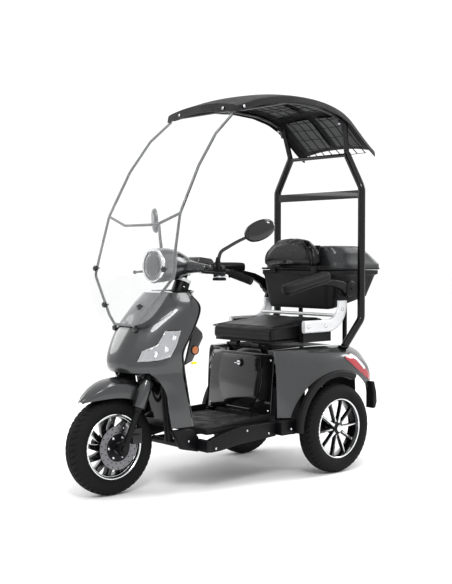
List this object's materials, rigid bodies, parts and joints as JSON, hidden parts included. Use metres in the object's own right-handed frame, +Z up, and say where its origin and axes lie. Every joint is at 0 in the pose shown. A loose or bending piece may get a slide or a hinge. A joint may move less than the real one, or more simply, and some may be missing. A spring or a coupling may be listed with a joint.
{
  "type": "mobility scooter",
  "caption": "Electric mobility scooter with a roof, windshield, wide seat, lockable rear box and handlebar steering.",
  "frame": {"origin": "on the ground under the middle of the overall length and width", "axes": "+Z up, -Y towards the front, +X towards the left side"},
  "size_m": [0.77, 1.672, 1.7459],
  "materials": {
    "frame_steel": "satin black paint",
    "bearing_steel": "ground",
    "cover_grey": "metallic grey paint",
    "cover_black": "gloss black",
    "trim_black": "grained black",
    "mat_rubber": "ribbed",
    "lamp_clear": "clear",
    "lamp_red": "red",
    "key_steel": "satin",
    "battery_case": "matt",
    "controller_case": "anodised",
    "axle_steel": "satin black paint",
    "roof_black": "fine grained",
    "net_black": "woven strips",
    "pole_black": "gloss black paint",
    "rod_black": "gloss black paint",
    "shield_clear": "clear",
    "knob_black": "moulded",
    "trunk_black": "grained",
    "lid_grey": "satin dark grey",
    "vinyl_black": "gloss vinyl",
    "seat_vinyl": "grained vinyl",
    "bracket_silver": "silver paint",
    "arm_pad": "foam pad",
    "fork_black": "satin black paint",
    "fork_steel": "polished",
    "caliper_gold": "satin",
    "fender_grey": "metallic grey paint",
    "bar_black": "satin black paint",
    "grip_rubber": "ribbed",
    "pod_black": "moulded",
    "lever_black": "satin black paint",
    "mirror_black": "gloss black",
    "chrome": "polished",
    "display_black": "gloss black",
    "tyre": "treaded",
    "rim_black": "black with machined rim",
    "disc_steel": "ground",
    "button_red": "red"
  },
  "bodies": {
    "chassis": {"main_frame": "frame_steel", "head_bearings": "bearing_steel", "fairing": "cover_grey", "marker_lamps": "lamp_clear", "leg_shield": "cover_black", "footboard": "trim_black", "floor_mat": "mat_rubber", "side_trims": "cover_black", "rear_cover_left": "cover_grey", "rear_cover_right": "cover_grey", "tail_lamps": "lamp_red", "rear_deck": "trim_black", "fender_lips": "trim_black", "seat_base_panel": "cover_black", "batteries": "battery_case", "controller": "controller_case", "roof_shell": "roof_black", "roof_rails": "pole_black", "roof_net": "net_black", "roof_hoop": "pole_black", "windshield_frame": "rod_black", "windshield": "shield_clear", "windshield_knobs": "knob_black", "trunk_body": "trunk_black"},
    "steering": {"steering_stem": "fork_black", "front_fender": "fender_grey", "handlebar": "bar_black", "grip_left": "grip_rubber", "switch_pods": "pod_black", "headlight_shell": "cover_grey", "headlight_ring": "chrome", "headlight_lens": "lamp_clear", "dash_display": "display_black", "stem_cover": "cover_black"},
    "fork": {"fork_sliders": "fork_steel", "brake_caliper": "caliper_gold"},
    "front_wheel": {"front_tyre": "tyre", "front_rim": "rim_black", "front_disc": "disc_steel"},
    "rear_axle": {"axle_housing": "axle_steel"},
    "wheel_left": {"rear_tyre_left": "tyre", "rear_rim_left": "rim_black"},
    "wheel_right": {"rear_tyre_right": "tyre", "rear_rim_right": "rim_black"},
    "lever_left": {"brake_lever_left": "lever_black"},
    "lever_right": {"brake_lever_right": "lever_black"},
    "throttle": {"throttle_grip": "grip_rubber"},
    "mirror_left": {"mirror_left": "mirror_black"},
    "mirror_right": {"mirror_right": "mirror_black"},
    "seat": {"seat_cushion": "seat_vinyl", "seat_pan": "trim_black", "arm_brackets": "bracket_silver"},
    "arm_left": {"armrest_left": "arm_pad"},
    "arm_right": {"armrest_right": "arm_pad"},
    "lid": {"trunk_lid": "lid_grey", "backrest_pad": "vinyl_black"},
    "key": {"lock_key": "key_steel"},
    "horn": {"horn_button": "button_red"},
    "turn": {"turn_switch": "pod_black"}
  },
  "joints": [
    {"name": "steer", "type": "hinge", "parent": "chassis", "child": "steering", "pos_m": [0, -0.259, 0.835], "axis": [0, 0.3907, 0.9205], "range_deg": [-30, 30]},
    {"name": "fork_travel", "type": "slide", "parent": "steering", "child": "fork", "axis": [0, 0.3907, 0.9205], "range_m": [0, 0.035], "stiffness_N_per_m": 15000, "springref_m": -0.04},
    {"name": "front_wheel_spin", "type": "hinge", "parent": "fork", "child": "front_wheel", "pos_m": [0, -0.631, 0.205], "axis": [1, 0, 0], "continuous": true},
    {"name": "axle_travel", "type": "slide", "parent": "chassis", "child": "rear_axle", "axis": [0, 0, 1], "range_m": [0, 0.025], "stiffness_N_per_m": 40000, "springref_m": -0.035},
    {"name": "rear_wheel_left_spin", "type": "hinge", "parent": "rear_axle", "child": "wheel_left", "pos_m": [0.311, 0.413, 0.205], "axis": [1, 0, 0], "continuous": true},
    {"name": "rear_wheel_right_spin", "type": "hinge", "parent": "rear_axle", "child": "wheel_right", "pos_m": [-0.311, 0.413, 0.205], "axis": [1, 0, 0], "continuous": true},
    {"name": "brake_left", "type": "hinge", "parent": "steering", "child": "lever_left", "pos_m": [0.142, -0.235, 0.93], "axis": [0, 0, 1], "range_deg": [0, 15], "stiffness_Nm_per_rad": 1, "springref_deg": -5.73},
    {"name": "brake_right", "type": "hinge", "parent": "steering", "child": "lever_right", "pos_m": [-0.142, -0.235, 0.93], "axis": [0, 0, -1], "range_deg": [0, 15], "stiffness_Nm_per_rad": 1, "springref_deg": -5.73},
    {"name": "throttle_twist", "type": "hinge", "parent": "steering", "child": "throttle", "pos_m": [-0.2, -0.153, 0.931], "axis": [-0.8715, 0.3674, -0.3247], "range_deg": [0, 60], "stiffness_Nm_per_rad": 0.3, "springref_deg": -11.46},
    {"name": "mirror_left_turn", "type": "hinge", "parent": "steering", "child": "mirror_left", "pos_m": [0.194, -0.199, 0.971], "axis": [0, 0, 1], "range_deg": [-20, 20]},
    {"name": "mirror_right_turn", "type": "hinge", "parent": "steering", "child": "mirror_right", "pos_m": [-0.194, -0.199, 0.971], "axis": [0, 0, 1], "range_deg": [-20, 20]},
    {"name": "seat_tilt", "type": "hinge", "parent": "chassis", "child": "seat", "pos_m": [0, 0.143, 0.588], "axis": [1, 0, 0], "range_deg": [0, 30]},
    {"name": "armrest_left_lift", "type": "hinge", "parent": "seat", "child": "arm_left", "pos_m": [0.277, 0.556, 0.845], "axis": [-1, 0, 0], "range_deg": [0, 67]},
    {"name": "armrest_right_lift", "type": "hinge", "parent": "seat", "child": "arm_right", "pos_m": [-0.277, 0.556, 0.845], "axis": [-1, 0, 0], "range_deg": [0, 55]},
    {"name": "lid_open", "type": "hinge", "parent": "chassis", "child": "lid", "pos_m": [0, 0.463, 0.936], "axis": [1, 0, 0], "range_deg": [0, 40]},
    {"name": "key_turn", "type": "hinge", "parent": "chassis", "child": "key", "pos_m": [0, 0.115, 0.505], "axis": [0, 1, 0], "range_deg": [0, 90]},
    {"name": "horn_press", "type": "slide", "parent": "steering", "child": "horn", "axis": [0, -1, 0], "range_m": [0, 0.002], "stiffness_N_per_m": 400, "springref_m": -0.001},
    {"name": "turn_slide", "type": "slide", "parent": "steering", "child": "turn", "axis": [1, 0, 0], "range_m": [-0.0025, 0.0025]}
  ]
}
